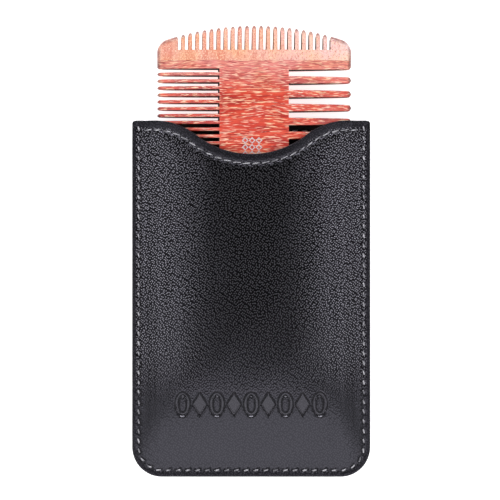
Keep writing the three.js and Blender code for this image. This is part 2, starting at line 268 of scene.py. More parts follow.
def inside_edge(x, y):
    """Distance in from the sleeve's sides, bottom edge and bottom corners."""
    across = np.abs(x) - (HALF_WIDTH - BOTTOM_CORNER)
    down = SLEEVE_BOTTOM + BOTTOM_CORNER - y
    return inside_corner(across, down, BOTTOM_CORNER)


def lower_edge(x):
    return SLEEVE_BOTTOM + corner_rise(x, HALF_WIDTH, BOTTOM_CORNER)


def front_top(x):
    """The front panel's upper edge: a thumb notch with a round bottom and rounded shoulders."""
    radii = NOTCH_BOTTOM_RADIUS + NOTCH_SHOULDER_RADIUS
    shoulder_x = math.sqrt(radii**2 - (radii - NOTCH_DEPTH) ** 2)
    meet_x = shoulder_x * NOTCH_BOTTOM_RADIUS / radii
    across = np.minimum(np.abs(x), meet_x)
    rise = NOTCH_BOTTOM_RADIUS - np.sqrt(NOTCH_BOTTOM_RADIUS**2 - across**2)
    left = np.clip(shoulder_x - np.abs(x), 0, shoulder_x - meet_x)
    fall = NOTCH_SHOULDER_RADIUS - np.sqrt(NOTCH_SHOULDER_RADIUS**2 - left**2)
    notch = SHOULDER_Y - NOTCH_DEPTH + rise
    shoulder = SHOULDER_Y - fall - corner_rise(x, HALF_WIDTH, TOP_CORNER)
    return np.where(np.abs(x) < meet_x, notch, shoulder)


def back_top(x):
    return BACK_TOP_Y - corner_rise(x, HALF_WIDTH, TOP_CORNER)


def below_top(x, y, top):
    """Distance below the panel's upper edge, measured square to that edge."""
    step = 0.05
    slope = (top(x + step) - top(x - step)) / (2 * step)
    slope = np.where(np.abs(x) < HALF_WIDTH - 2 * TOP_CORNER, slope, 0)
    return (top(x) - y) / np.sqrt(1 + slope**2)


def pocket_half(x, y, top):
    """Half the height of the pocket, measured from the plane of the side seam."""
    across = np.maximum(np.abs(x) - COMB_X, 0)
    lens = blend(side_share(across), tail_share(y - COMB_BOTTOM_Y + COMB_TRAVEL_IN))
    flare = MOUTH_FLARE * (1 - smooth(HEM, HEM + HEM_RISE, top(x) - y))
    opened = COMB_HALF_THICKNESS * lens + COMB_CLEARANCE + flare
    wall = ramp(SEAM_MARGIN, SEAM_MARGIN + WALL_RISE, inside_edge(x, y))
    return SEAM_HALF_GAP + (opened - SEAM_HALF_GAP) * wall


def leather_inside(x, y, top):
    """The leather's inner face: room for the board, and on the lining at every edge."""
    sides = smooth(BOARD_MARGIN - BOARD_RISE, BOARD_MARGIN, HALF_WIDTH - np.abs(x))
    bottom = smooth(SLEEVE_BOTTOM + SEAM_MARGIN, BOARD_BOTTOM_Y, y)
    mouth = smooth(HEM, HEM + HEM_RISE, top(x) - y)
    room = (BOARD + LAYER_GAP) * sides * bottom * mouth
    return pocket_half(x, y, top) + LINING + LAYER_GAP + room


def leather_plain(x, y, top):
    """The leather's outer face drawn straight over what is under it, full at the wall's foot."""
    wall_top = SEAM_MARGIN + WALL_RISE
    inset = inside_edge(x, y)
    fill = ramp(SEAM_MARGIN - FOOT_FILL, wall_top, inset) - ramp(SEAM_MARGIN, wall_top, inset)
    height = pocket_half(HALF_WIDTH - wall_top, y, top) - SEAM_HALF_GAP
    return leather_inside(x, y, top) + LEATHER + fill * height


def leather_outside(x, y, top):
    """The leather's outer face before stitching: its thickness evens out the ridges under it
    away from the walls and the mouth, and it has the shallow unevenness of a hide."""
    wall_top = SEAM_MARGIN + WALL_RISE
    reach = SOFTENING * smooth(wall_top, wall_top + SOFTENING, inside_edge(x, y))
    reach = reach * smooth(HEM + HEM_RISE, HEM + HEM_RISE + SOFTENING, top(x) - y)
    total, rings, turns = 0, 2, 8
    for ring in range(1, rings + 1):
        for turn in range(turns):
            heading = 2 * math.pi * (turn + ring / 2) / turns
            along = reach * ring / rings
            total = total + leather_plain(
                x + along * math.cos(heading), y + along * math.sin(heading), top
            )
    return total / (rings * turns) - waves(x, y)


def waves(x, y):
    """Shallow dips across the panel, from a few crossing waves of different lengths."""
    total = 0
    for length, heading in ((31, 0.3), (23, 1.4), (17, 2.3), (13, 3.0)):
        along = x * math.cos(heading) + y * math.sin(heading)
        total = total + WAVE_DEPTH * (1 - np.cos(2 * math.pi * along / length + heading))
    return total / 2


# ---- making meshes


def new_object(name, vertices, faces, materials, face_slots=None):
    """A smooth-shaded mesh object from vertices in millimetres."""
    mesh = bpy.data.meshes.new(name)
    mesh.from_pydata((np.asarray(vertices) * MM).tolist(), [], faces)
    for material in materials:
        mesh.materials.append(material)
    if face_slots is not None:
        mesh.polygons.foreach_set("material_index", np.asarray(face_slots, np.int32))
    mesh.polygons.foreach_set("use_smooth", [True] * len(mesh.polygons))
    mesh.update()
    obj = bpy.data.objects.new(name, mesh)
    bpy.context.scene.collection.objects.link(obj)
    return obj


def grid_faces(index):
    """Quads between the rows and columns of an array of vertex numbers."""
    corners = [index[:-1, :-1], index[:-1, 1:], index[1:, 1:], index[1:, :-1]]
    return np.stack([c.ravel() for c in corners], -1).tolist()


def rim_loop(index, row_marks, column_marks):
    """The vertex numbers round a grid's border, with a mark at each place the two faces meet."""
    last_row, last_column = index.shape[0] - 1, index.shape[1] - 1
    loop = [(index[0, c], c in column_marks) for c in range(last_column)]
    loop += [(index[r, last_column], r in row_marks) for r in range(last_row)]
    loop += [(index[last_row, c], c in column_marks) for c in range(last_column, 0, -1)]
    loop += [(index[r, 0], r in row_marks) for r in range(last_row, 0, -1)]
    return loop


def coarse_marks(count, step):
    return sorted(set(range(0, count, step)) | {count - 1})


def panel_object(name, sign, columns, rows, inner, outer, materials, step=4):
    """A closed sheet of the front (sign 1) or back (-1) panel, between two heights out from the
    seam. Its outer face has every column and row, and its inner face every step-th one. The
    second material is for its cut edge."""
    x, y = np.broadcast_to(columns, (len(rows), len(columns))), np.array(rows)
    outside = np.stack([x, y, SEAM_Z + sign * outer(x, y)], -1)
    row_marks = coarse_marks(len(rows), step)
    column_marks = coarse_marks(len(columns), step)
    cx, cy = x[np.ix_(row_marks, column_marks)], y[np.ix_(row_marks, column_marks)]
    inside = np.stack([cx, cy, SEAM_Z + sign * inner(cx, cy)], -1)
    outer_index = np.arange(x.size).reshape(x.shape)
    inner_index = x.size + np.arange(cx.size).reshape(cx.shape)
    faces = grid_faces(outer_index) + [f[::-1] for f in grid_faces(inner_index)]
    plain = len(faces)
    outer_loop = rim_loop(outer_index, set(row_marks), set(column_marks))
    inner_loop = [v for v, _ in rim_loop(inner_index, *map(range, cx.shape))]
    starts = [i for i, (_, mark) in enumerate(outer_loop) if mark]
    outer_loop = [int(v) for v, _ in outer_loop]
    for i, start in enumerate(starts):
        end = starts[(i + 1) % len(starts)]
        run = outer_loop[start : end + 1] if end > start else outer_loop[start:] + outer_loop[:1]
        ends = [int(inner_loop[i]), int(inner_loop[(i + 1) % len(starts)])]
        faces.append(run[::-1] + ends)
    if sign < 0:
        faces = [f[::-1] for f in faces]
    slots = [0] * plain + [1] * (len(faces) - plain)
    vertices = np.concatenate([outside.reshape(-1, 3), inside.reshape(-1, 3)])
    return new_object(name, vertices, faces, materials, slots)


def round_steps(radius, count):
    """Distances in from an edge of this radius at which it needs a row of vertices."""
    return radius * (1 - np.cos(np.linspace(0, math.pi / 2, count + 1)))


EDGE_STEPS = round_steps(EDGE_ROUND, 5)
RIM_STEPS = round_steps(RIM_ROUND, 8)


def panel_columns(pitch, fine_pitch, fine_half):
    """Columns across a panel: close together near its sides and within fine_half of its middle."""
    outer_start = HALF_WIDTH - EDGE_ROUND
    outer_count = math.ceil((outer_start - fine_half) / pitch)
    outer = np.linspace(fine_half, outer_start, outer_count + 1)
    rim = HALF_WIDTH - EDGE_STEPS[-2::-1]
    half = np.concatenate([outer, rim])
    middle = np.linspace(-fine_half, fine_half, math.ceil(2 * fine_half / fine_pitch) + 1)
    return np.concatenate([-half[::-1], middle[1:-1], half])


def panel_rows(columns, top, heights):
    """Rows up a panel at the given heights, drawn in to follow its upper and lower edges."""
    low, high = lower_edge(columns), top(columns)
    share = (np.array(heights) - heights[0]) / (heights[-1] - heights[0])
    inner_low, inner_high = low + EDGE_ROUND, high - EDGE_ROUND
    rows = [low + step for step in EDGE_STEPS[:-1]]
    rows += [inner_low + (inner_high - inner_low) * s for s in share]
    rows += [high - step for step in EDGE_STEPS[-2::-1]]
    return rows


def edge_drop(x, y, top):
    """How far a cut edge's rounding lowers the leather."""
    distance = np.minimum(inside_edge(x, y), below_top(x, y, top))
    left = np.clip(EDGE_ROUND - distance, 0, EDGE_ROUND)
    return EDGE_ROUND - np.sqrt(EDGE_ROUND**2 - left**2)


# ---- seams


def side_seam_path():
    """Points down the left side, round the bottom and up the right side."""
    inset_x = HALF_WIDTH - SIDE_STITCH_INSET
    top_y = SHOULDER_Y - TOP_CORNER
    radius = BOTTOM_CORNER - SIDE_STITCH_INSET
    angle = np.linspace(0, math.pi / 2, 40)
    corner_x = HALF_WIDTH - BOTTOM_CORNER + radius * np.sin(angle)
    corner_y = SLEEVE_BOTTOM + BOTTOM_CORNER - radius * np.cos(angle)
    x = np.concatenate([[-inset_x], -corner_x[::-1], corner_x, [inset_x]])
    y = np.concatenate([[top_y], corner_y[::-1], corner_y, [top_y]])
    return np.stack([x, y], -1)


def mouth_seam_path(top, reach):
    """Points along the panel's upper edge, set in from it by the same distance everywhere."""
    x = np.linspace(-reach, reach, 400)
    slope = np.gradient(top(x), x)
    length = np.sqrt(1 + slope**2)
    inset = MOUTH_STITCH_INSET
    return np.stack([x + inset * slope / length, top(x) - inset / length], -1)


def stitch_places(path, length, slant):
    """Centres and slanted directions of evenly spaced stitches along a path, and their length."""
    pieces = np.linalg.norm(np.diff(path, axis=0), axis=1)
    along = np.concatenate([[0], np.cumsum(pieces)])
    count = round(along[-1] / STITCH_PITCH)
    at = (np.arange(count) + 0.5) * along[-1] / count
    reach = length / 2

    def point(distance):
        return np.stack([np.interp(distance, along, path[:, i]) for i in range(2)], -1)

    direction = point(at + reach) - point(at - reach)
    direction = direction / np.linalg.norm(direction, axis=1, keepdims=True)
    cos, sin = math.cos(slant), math.sin(slant)
    return point(at), direction @ np.array([[cos, sin], [-sin, cos]]), length


def seam_relief(x, y, seams):
    """How far the stitches draw the surface in: a channel, with a hole at each stitch's ends."""
    relief = np.zeros_like(x)
    for centres, directions, length in seams:
        reach = 3 * HOLE_RADIUS + length / 2
        for (cx, cy), (dx, dy) in zip(centres, directions):
            near = (np.abs(x - cx) < reach) & (np.abs(y - cy) < reach)
            along = (x[near] - cx) * dx + (y[near] - cy) * dy
            across = (y[near] - cy) * dx - (x[near] - cx) * dy
            past = np.maximum(np.abs(along) - length / 2, 0)
            faded = (across / CHANNEL_HALF_WIDTH) ** 2 + (past / CHANNEL_END) ** 2
            channel = CHANNEL_DEPTH * np.exp(-faded)
            to_hole = np.hypot(np.abs(along) - length / 2, across) / HOLE_RADIUS
            hole = HOLE_DEPTH * np.exp(-(to_hole**2))
            relief[near] = np.maximum(relief[near], channel + hole)
    return relief


def stitches(name, sign, seam, surface, material, thickness):
    """One line of stitches, each an arch of thread from hole to hole over a surface height."""
    centres, directions, length = seam
    vertices, faces = [], []
    turn = np.linspace(0, 2 * math.pi, STITCH_SIDES, endpoint=False)
    share = np.linspace(-1, 1, STITCH_STEPS + 1)
    along = share * (length / 2 + STITCH_OVERRUN)
    crest, sink = 0.45 * thickness, 1.35 * thickness + HOLE_DEPTH
    radius = thickness * (1 - STITCH_THINNING * np.abs(share) ** 3)
    across = radius[:, None] * np.cos(turn)
    up = radius[:, None] * np.sin(turn)
    for (cx, cy), (dx, dy) in zip(centres, directions):
        x, y = cx + along * dx, cy + along * dy
        height = surface(x, y) + (crest - sink * np.abs(share) ** 5)
        ring_x = x[:, None] - dy * across
        ring_y = y[:, None] + dx * across
        ring_z = SEAM_Z + sign * (height[:, None] + up)
        first = len(vertices) * ring_x.size
        vertices.append(np.stack([ring_x, ring_y, ring_z], -1).reshape(-1, 3))
        faces += tube_faces(first, len(share), STITCH_SIDES, sign)
    return new_object(name, np.concatenate(vertices), faces, [material])


def tube_faces(first, rings, sides, sign):
    """Faces of a closed tube of rings of vertices, numbered from first."""
    index = first + np.arange(rings * sides).reshape(rings, sides)
    wrapped = np.concatenate([index, index[:, :1]], 1)
    faces = grid_faces(wrapped) + [index[0, ::-1].tolist(), index[-1].tolist()]
    return faces if sign < 0 else [f[::-1] for f in faces]


# ---- the pressed band


def band_relief(x, y):
    """Depth of the band pressed into the front panel."""
    cell = 2 * BAND_HALF_LENGTH / BAND_FIGURES
    count = np.floor((x + BAND_HALF_LENGTH) / cell)
    half_width = (cell - FIGURE_GAP) / 2
    across = np.abs((x + BAND_HALF_LENGTH) % cell - cell / 2) / half_width
    up = np.abs(y - BAND_Y) / FIGURE_HALF_HEIGHT
    out = np.maximum(np.hypot(across, up), 0.1)
    growth = np.maximum(np.hypot(across / half_width, up / FIGURE_HALF_HEIGHT), 0.02)
    past_oval = (out - 1) * out / growth
    ring = np.abs(past_oval + RING_WIDTH / 2) - RING_WIDTH / 2
    lozenge = (across + up - 1) / math.hypot(1 / (cell / 2), 1 / FIGURE_HALF_HEIGHT)
    shape = np.where(count % 2 == 0, ring, lozenge)
    shape = np.where(np.abs(x) < BAND_HALF_LENGTH, shape, 1)
    return PRESS_DEPTH * np.clip(0.5 - shape / PRESS_WALL, 0, 1)


# ---- materials


def linear(red, green, blue):
    """A colour given as it looks on screen, from 0 to 255, as the linear values nodes take."""
    values = [c / 255 for c in (red, green, blue)]
    return [c / 12.92 if c <= 0.04045 else ((c + 0.055) / 1.055) ** 2.4 for c in values] + [1]


class Nodes:
    """A material's node tree, with short calls for making and joining nodes."""

    def __init__(self, name):
        self.material = bpy.data.materials.new(name)
        self.material.use_nodes = True
        self.tree = self.material.node_tree
        self.shader = self.tree.nodes["Principled BSDF"]
        self.place = self.node("TexCoord", {}).outputs["Object"]

    def node(self, kind, inputs, **settings):
        made = self.tree.nodes.new("ShaderNode" + kind)
        for key, value in settings.items():
            setattr(made, key, value)
        for key, value in inputs.items():
            self.put(made.inputs[key], value)
        return made

    def put(self, socket, value):
        if isinstance(value, bpy.types.NodeSocket):
            self.tree.links.new(value, socket)
        else:
            socket.default_value = value

    def stretched(self, across_mm, place=None):
        """Coordinates in which one unit is so many millimetres, on each axis or on them all."""
        scale = [1 / (size * MM) for size in np.broadcast_to(across_mm, 3)]
        inputs = {"Vector": place or self.place, "Scale": scale}
        return self.node("Mapping", inputs).outputs[0]

    def noise(self, across_mm, detail, place=None):
        inputs = {"Vector": self.stretched(across_mm, place), "Scale": 1.0}
        inputs |= {"Detail": detail, "Roughness": 0.55}
        return self.node("TexNoise", inputs).outputs["Fac"]

    def axis(self, name):
        return self.node("SeparateXYZ", {0: self.place}).outputs[name]

    def ramp(self, value, stops):
        """A colour ramp; stops are (position, colour) with colours as they look on screen."""
        made = self.node("ValToRGB", {"Fac": value})
        elements = made.color_ramp.elements
        while len(elements) < len(stops):
            elements.new(0.5)
        for element, (position, colour) in zip(elements, stops):
            element.position = position
            element.color = linear(*colour)
        return made.outputs["Color"]

    def spread(self, value, low, high, to_low=0.0, to_high=1.0):
        inputs = {"Value": value, "From Min": low, "From Max": high}
        inputs |= {"To Min": to_low, "To Max": to_high}
        return self.node("MapRange", inputs).outputs[0]

    def spread_mm(self, value, low, high, to_low=0.0, to_high=1.0):
        return self.spread(value, low * MM, high * MM, to_low, to_high)

    def maths(self, operation, a, b=0.0):
        return self.node("Math", {0: a, 1: b}, operation=operation).outputs[0]

    def vectors(self, operation, a, b=(0, 0, 0)):
        made = self.node("VectorMath", {0: a, 1: b}, operation=operation)
        return made.outputs["Value" if operation == "LENGTH" else "Vector"]

    def mix(self, share, a, b, blend_type="MIX"):
        made = self.node("Mix", {}, data_type="RGBA", blend_type=blend_type)
        for key, value in (("Factor", share), ("A", a), ("B", b)):
            self.put(next(s for s in made.inputs if s.name == key and s.enabled), value)
        return next(s for s in made.outputs if s.enabled)

    def bump(self, height, distance_mm, under=None):
        inputs = {"Height": height, "Distance": distance_mm * MM, "Strength": 1.0}
        if under is not None:
            inputs["Normal"] = under
        return self.node("Bump", inputs).outputs[0]

    def finish(self, colour, roughness, normal=None, **others):
        """The material, once its shader's inputs are set; others are named as its inputs are."""
        inputs = {"Base Color": colour, "Roughness": roughness, "Normal": normal} | others
        for key, value in inputs.items():
            if value is not None:
                self.put(self.shader.inputs[key.replace("_", " ")], value)
        return self.material


def leather_material(name, relief_mm, stops, rough_range, gloss=LEATHER_GLOSS, painted_glint_stops=None):
    """Black leather with a fine pebbled grain; stops colour each pebble from its middle out, lighter
    in the middle and dark at its edge: partly worn tops, partly painted highlight on the tops and
    painted shade in the valleys. gloss is the tint and the index of refraction of its sheen. The
    stops for the sides, where there are any, colour the paler pebbles near them: a painted
    highlight standing in for the glints of the grain there. A flat grey then evens out the
    pebbles towards the bottom: a painted even sheen."""
    nodes = Nodes(name)
    inputs = {"Vector": nodes.place, "Rotation": (0, 0, GRAIN_TURN)}
    turned = nodes.node("Mapping", inputs).outputs[0]
    inputs = {"Vector": nodes.stretched(GRAIN_MM, turned), "Scale": 1.0, "Randomness": GRAIN_RANDOMNESS}
    pebbles = nodes.node("TexVoronoi", inputs, voronoi_dimensions="2D")
    distance = pebbles.outputs["Distance"]
    dome = nodes.maths("MULTIPLY", nodes.maths("MULTIPLY", distance, distance), -1.0)
    # Each pebble is lighter in its middle and dark at its edge: partly worn tops, partly painted
    # highlight on the tops and painted shade in the valleys between them.
    colour = nodes.ramp(distance, stops)
    # Paler pebbles outwards and upwards: a painted highlight standing in for the glints of the grain
    # there.
    if painted_glint_stops:
        out = nodes.spread_mm(nodes.maths("ABSOLUTE", nodes.axis("X")), *PAINTED_GLINT_OUT)
        up = nodes.spread_mm(nodes.axis("Y"), *PAINTED_GLINT_UP)
        paler = nodes.ramp(distance, painted_glint_stops)
        colour = nodes.mix(nodes.maths("MULTIPLY", out, up), colour, paler)
        # Towards the bottom a flat grey evens out the pebbles' painted light and shade: a painted even
        # sheen.
        plain = nodes.spread_mm(nodes.axis("Y"), *EVEN_SHEEN_TO_GRAINED, EVEN_SHEEN_SHARE, 0.0)
        colour = nodes.mix(plain, colour, linear(*EVEN_SHEEN_TONE))
    rough = nodes.spread(distance, 0.1, 0.5, *rough_range)
    normal = nodes.bump(dome, relief_mm)
    tint, refraction = gloss
    return nodes.finish(colour, rough, normal, Specular_Tint=linear(*tint), IOR=refraction)


def grained_leather():
    # Light pebble middles and dark edges: partly wear, partly painted highlight and painted shade.
    stops = [(0.22, (60, 59, 63)), (0.36, (10, 10, 11)), (0.54, (1, 1, 1))]
    # The stops for the sides: paler pebbles, a painted highlight standing in for glints.
    painted_glint_stops = [(0.08, (158, 156, 165)), (0.26, (12, 12, 13)), (0.4, (1, 1, 1))]
    return leather_material("black_grained_leather", 0.057, stops, (0.17, 0.13), painted_glint_stops=painted_glint_stops)


def burnished_leather():
    """Where the leather is rubbed smooth along its edges."""
    stops = [(0.16, (52, 50, 56)), (0.32, (3, 3, 4))]
    return leather_material("black_burnished_leather", 0.03, stops, (0.3, 0.34))


def tooled_leather():
    """Where the leather is pressed flat by a warm stamp."""
    stops = [(0.24, (32, 32, 35)), (0.45, (8, 8, 9))]
    gloss = ((214, 211, 226), 1.55)
    return leather_material("black_tooled_leather", 0.015, stops, (0.14, 0.12), gloss)


def edge_paint_material():
    nodes = Nodes("black_edge_paint")
    wobble = nodes.noise((1.2, 1.2, 0.6), detail=3)
    colour = nodes.ramp(wobble, [(0.3, (14, 14, 16)), (0.7, (27, 26, 29))])
    rough = nodes.spread(wobble, 0.3, 0.7, 0.3, 0.5)
    return nodes.finish(colour, rough, nodes.bump(wobble, 0.08))


def lining_material():
    nodes = Nodes("black_napped_lining")
    nap = nodes.noise((0.16, 0.4, 0.16), detail=3)
    patches = nodes.noise((7, 12, 7), detail=2)
    halves = [nodes.maths("MULTIPLY", part, 0.5) for part in (nap, patches)]
    level = nodes.maths("ADD", *halves)
    colour = nodes.ramp(level, [(0.35, (10, 10, 11)), (0.65, (26, 25, 27))])
    normal = nodes.bump(nap, 0.08)
    return nodes.finish(colour, 0.92, normal, Sheen_Weight=0.25, Sheen_Roughness=0.5)


def mottled_material(name, grain_mm, detail, stops, roughness, relief_mm):
    """A material whose colour and relief follow one noise."""
    nodes = Nodes(name)
    level = nodes.noise(grain_mm, detail)
    return nodes.finish(nodes.ramp(level, stops), roughness, nodes.bump(level, relief_mm))


def board_material():
    stops = [(0.3, (128, 118, 102)), (0.7, (158, 148, 132))]
    return mottled_material("grey_card", (0.5, 1.6, 0.5), 4, stops, 0.9, 0.05)


def gap_shade_material():
    """Near-black painted shade on the sawn walls of the gaps between the teeth, where shadow falls deep
    in the narrow slots.
    """
    stops = [(0.35, (8, 4, 4)), (0.65, (30, 12, 10))]
    return mottled_material("gap_painted_shade", (0.8, 0.8, 0.25), 3, stops, 0.7, 0.04)


def print_material():
    stops = [(0.35, (190, 150, 145)), (0.6, (205, 200, 205))]
    return mottled_material("worn_grey_print", (0.5, 0.25, 0.5), 3, stops, 0.5, 0.01)


def thread_material():
    nodes = Nodes("waxed_thread")
    inputs = {"Vector": nodes.stretched(0.28), "Scale": 1.0, "Distortion": 0.6}
    ply = nodes.node("TexWave", inputs, bands_direction="DIAGONAL").outputs["Fac"]
    wear = nodes.noise(1.7, detail=1)
    # The light ply crests are painted highlight on the twists of the thread, and the darker bands
    # between them painted shade.
    colour = nodes.ramp(ply, [(0.2, (150, 148, 156)), (0.8, (236, 234, 242))])
    colour = nodes.mix(nodes.spread(wear, 0.42, 0.62, 0.0, 0.75), colour, linear(84, 83, 92))
    return nodes.finish(colour, 0.3, nodes.bump(ply, 0.06))


def rim_painted_shade(nodes):
    """How much painted shade darkens the rim, where its rounded edges turn from the light: 0 inside
    the comb and 1 at the tips of its teeth, on its sides and along its crown.
    """
    across = nodes.maths("ABSOLUTE", nodes.maths("SUBTRACT", nodes.axis("X"), COMB_X * MM))
    side = nodes.spread_mm(across, *[COMB_HALF_WIDTH - inset for inset in SIDE_RIM_SHADE])
    centre = (COMB_X * MM, (COMB_BOTTOM_Y + COMB_LENGTH - END_RADIUS) * MM, 0)
    flat = nodes.vectors("MULTIPLY", nodes.vectors("SUBTRACT", nodes.place, centre), (1, 1, 0))
    radius = nodes.vectors("LENGTH", flat)
    crown = nodes.spread_mm(radius, *[END_RADIUS - inset for inset in CROWN_RIM_SHADE])
    return nodes.maths("MAXIMUM", side, crown)


def wood_material(name, along, colours, dash_mm, band_mm, painted_highlight_fade):
    """Polished wood with its grain along axis 0 or 1. Its colours are dark, middle, pale, the
    short pale dashes of its pores, partly pale flecks and partly painted glints, the short dark
    ones and the painted shade on its rim; dash_mm is how long and wide the dashes are, and
    band_mm the bands of tone behind them. The last argument is an axis, where along it a
    painted highlight starts to turn the wood paler and where it ends, the painted highlight's
    colour and its share."""
    dark, middle, pale, pale_fleck_and_glint, pore, rim_shade_colour = colours
    nodes = Nodes(name)

    def grain(length, width, depth, detail):
        size = [width, width, depth]
        size[along] = length
        return nodes.noise(size, detail, bent)

    bend = nodes.noise(16, detail=1)
    shift = nodes.spread(bend, 0.3, 0.7, -0.6 * MM, 0.6 * MM)
    across = "YX"[along]
    offset = nodes.node("CombineXYZ", {across: shift}).outputs[0]
    bent = nodes.vectors("ADD", nodes.place, offset)
    length, width = dash_mm
    bands = grain(*band_mm, 4, detail=2)
    colour = nodes.ramp(bands, [(0.36, dark), (0.5, middle), (0.64, pale)])
    # A painted highlight turns the wood paler along one axis.
    axis, start, end, painted_highlight_colour, share = painted_highlight_fade
    paler = nodes.spread_mm(nodes.axis(axis), start, end, 0.0, share)
    colour = nodes.mix(paler, colour, linear(*painted_highlight_colour))
    pores = grain(length * 1.5, width, 1.1, detail=1)
    colour = nodes.mix(nodes.spread(pores, 0.55, 0.63, 0.0, 0.85), colour, linear(*pore))
    # Pale dashes along the grain: partly pale flecks, partly painted glints off the pores.
    dashes = grain(length, width * 1.15, 0.9, detail=1)
    light = nodes.spread(dashes, 0.56, 0.64)
    colour = nodes.mix(light, colour, linear(*pale_fleck_and_glint))
    tint = nodes.noise(9, detail=1)
    hue = nodes.ramp(tint, [(0.4, (255, 246, 232)), (0.6, (255, 250, 255))])
    colour = nodes.mix(1.0, colour, hue, "MULTIPLY")
    uneven = nodes.noise(1.6, detail=2)
    # Painted shade along the comb's rounded rim, where it turns from the light, broken up by a noise.
    rim = nodes.maths("MULTIPLY", rim_painted_shade(nodes), nodes.spread(uneven, 0.3, 0.6, 0.5, 1.0))
    colour = nodes.mix(rim, colour, linear(*rim_shade_colour))
    fibre = grain(1.6, 0.12, 0.2, detail=2)
    normal = nodes.bump(light, 0.02, under=nodes.bump(fibre, 0.012))
    rough = nodes.spread(fibre, 0.3, 0.7, 0.26, 0.4)
    return nodes.finish(colour, rough, normal, Coat_Weight=1.0, Coat_Roughness=0.2)


def red_wood():
    """The body's wood, with its grain across the comb, and a painted sheen that turns it paler towards
    the crown.
    """
    colours = [(188, 44, 33), (211, 64, 45), (226, 87, 64)]
    # Then the pale dashes, partly painted glints; the dark dashes; and the painted shade on the rim.
    colours += [(250, 208, 180), (148, 31, 33), (84, 26, 26)]
    # A painted sheen towards the crown.
    painted_highlight_fade = ("Y", BODY_HIGH[1] - 11, BODY_HIGH[1] + 1, (236, 164, 154), 0.75)
    return wood_material("red_wood", 0, colours, (3.0, 0.24), (20, 2.2), painted_highlight_fade)


def pale_wood():
    """The crown's wood, with its grain along the comb, and a painted highlight that turns it paler
    towards its right end.
    """
    colours = [(228, 142, 117), (235, 165, 141), (242, 183, 154)]
    # Then the pale dashes, partly painted glints; the dark dashes; and the painted shade on the rim.
    colours += [(250, 214, 184), (218, 130, 110), (128, 50, 40)]
    # A near-white painted highlight towards the right end.
    painted_highlight_fade = ("X", COMB_X - 6, COMB_X + COMB_HALF_WIDTH, (255, 234, 232), 0.75)
    return wood_material("pale_wood", 1, colours, (0.42, 0.3), (25, 1.9), painted_highlight_fade)


# ---- the comb's shape


def end_bow(x):
    return END_RADIUS - np.sqrt(END_RADIUS**2 - x**2)


def comb_low(x):
    return end_bow(x) + corner_rise(x, COMB_HALF_WIDTH, END_CORNER)


def comb_high(x):
    return COMB_LENGTH - comb_low(x)


def inside_comb(x, y):
    """Distance in from the comb's rounded outline."""
    across = np.abs(x) - (COMB_HALF_WIDTH - END_CORNER)
    lower = inside_corner(across, end_bow(x) + END_CORNER - y, END_CORNER)
    upper = inside_corner(across, y - (COMB_LENGTH - end_bow(x) - END_CORNER), END_CORNER)
    return np.minimum(lower, upper)


def comb_half(x, y):
    """Half the comb's thickness, rounded off at its rim."""
    full = COMB_HALF_THICKNESS * blend(side_share(x), tail_share(y) * crown_share(y))
    left = 1 - np.clip(inside_comb(x, y) / RIM_ROUND, 0, 1)
    return full * np.sqrt(1 - left**2)


def comb_columns():
    inner = np.linspace(0, COMB_HALF_WIDTH - RIM_ROUND, COLUMNS_EACH_SIDE)
    half = np.concatenate([inner, COMB_HALF_WIDTH - RIM_STEPS[-2::-1]])
    return np.concatenate([-half[:0:-1], half])


def comb_blank(name, rows, columns, rounded_row, material):
    """One board of the comb before its teeth are cut; rounded_row is the row at its rim."""
    x = np.broadcast_to(columns, (len(rows), len(columns)))
    y = np.array(rows)
    half = comb_half(x, y)
    half[rounded_row] = 0
    half[:, [0, -1]] = 0
    top = np.stack([x, y, half], -1).reshape(-1, 3)
    bottom = np.stack([x, y, -half], -1).reshape(-1, 3)
    high = np.arange(x.size).reshape(x.shape)
    low = np.where(half > 0, high + x.size, high)
    flat_row = -1 if rounded_row == 0 else 0
    end = np.stack([low[flat_row], high[flat_row]])
    end_quads = grid_faces(end if flat_row == 0 else end[::-1])
    faces = grid_faces(high) + [f[::-1] for f in grid_faces(low)] + end_quads
    faces = [list(dict.fromkeys(f)) for f in faces]
    faces = [f for f in faces if len(f) > 2]
    blank = new_object(name, np.concatenate([top, bottom]), faces, [material])
    edit_mesh(blank, drop_loose)
    return blank


def edit_mesh(obj, change):
    """Makes a change to an object's mesh in its editable form."""
    edit = bmesh.new()
    edit.from_mesh(obj.data)
    change(edit)
    edit.to_mesh(obj.data)
    edit.free()


def drop_loose(edit):
    """Removes the vertices that no face uses."""
    loose = [v for v in edit.verts if not v.link_faces]
    bmesh.ops.delete(edit, geom=loose, context="VERTS")


def face_out(edit):
    """Turns every closed part of a mesh to face out."""
    bmesh.ops.recalc_face_normals(edit, faces=edit.faces)


def read(items, name):
    """The places or directions that a mesh's vertices or faces hold under a name, in rows."""
    values = np.empty(len(items) * 3)
    items.foreach_get(name, values)
    return values.reshape(-1, 3)


def gap_wall(width, half, rounding):
    """One wall of a gap from the comb's back to its front, flared to round the tooth's edges."""
    side = [(width, 0.0)]
    for a in np.linspace(0, math.pi / 2, 5):
        flare = rounding * (1 - math.cos(a))
        side.append((width + flare, half - rounding + rounding * math.sin(a)))
    side.append((width + rounding, half + SAW_PAST_FACE))
    return [(w, -z) for w, z in side[:0:-1]] + side


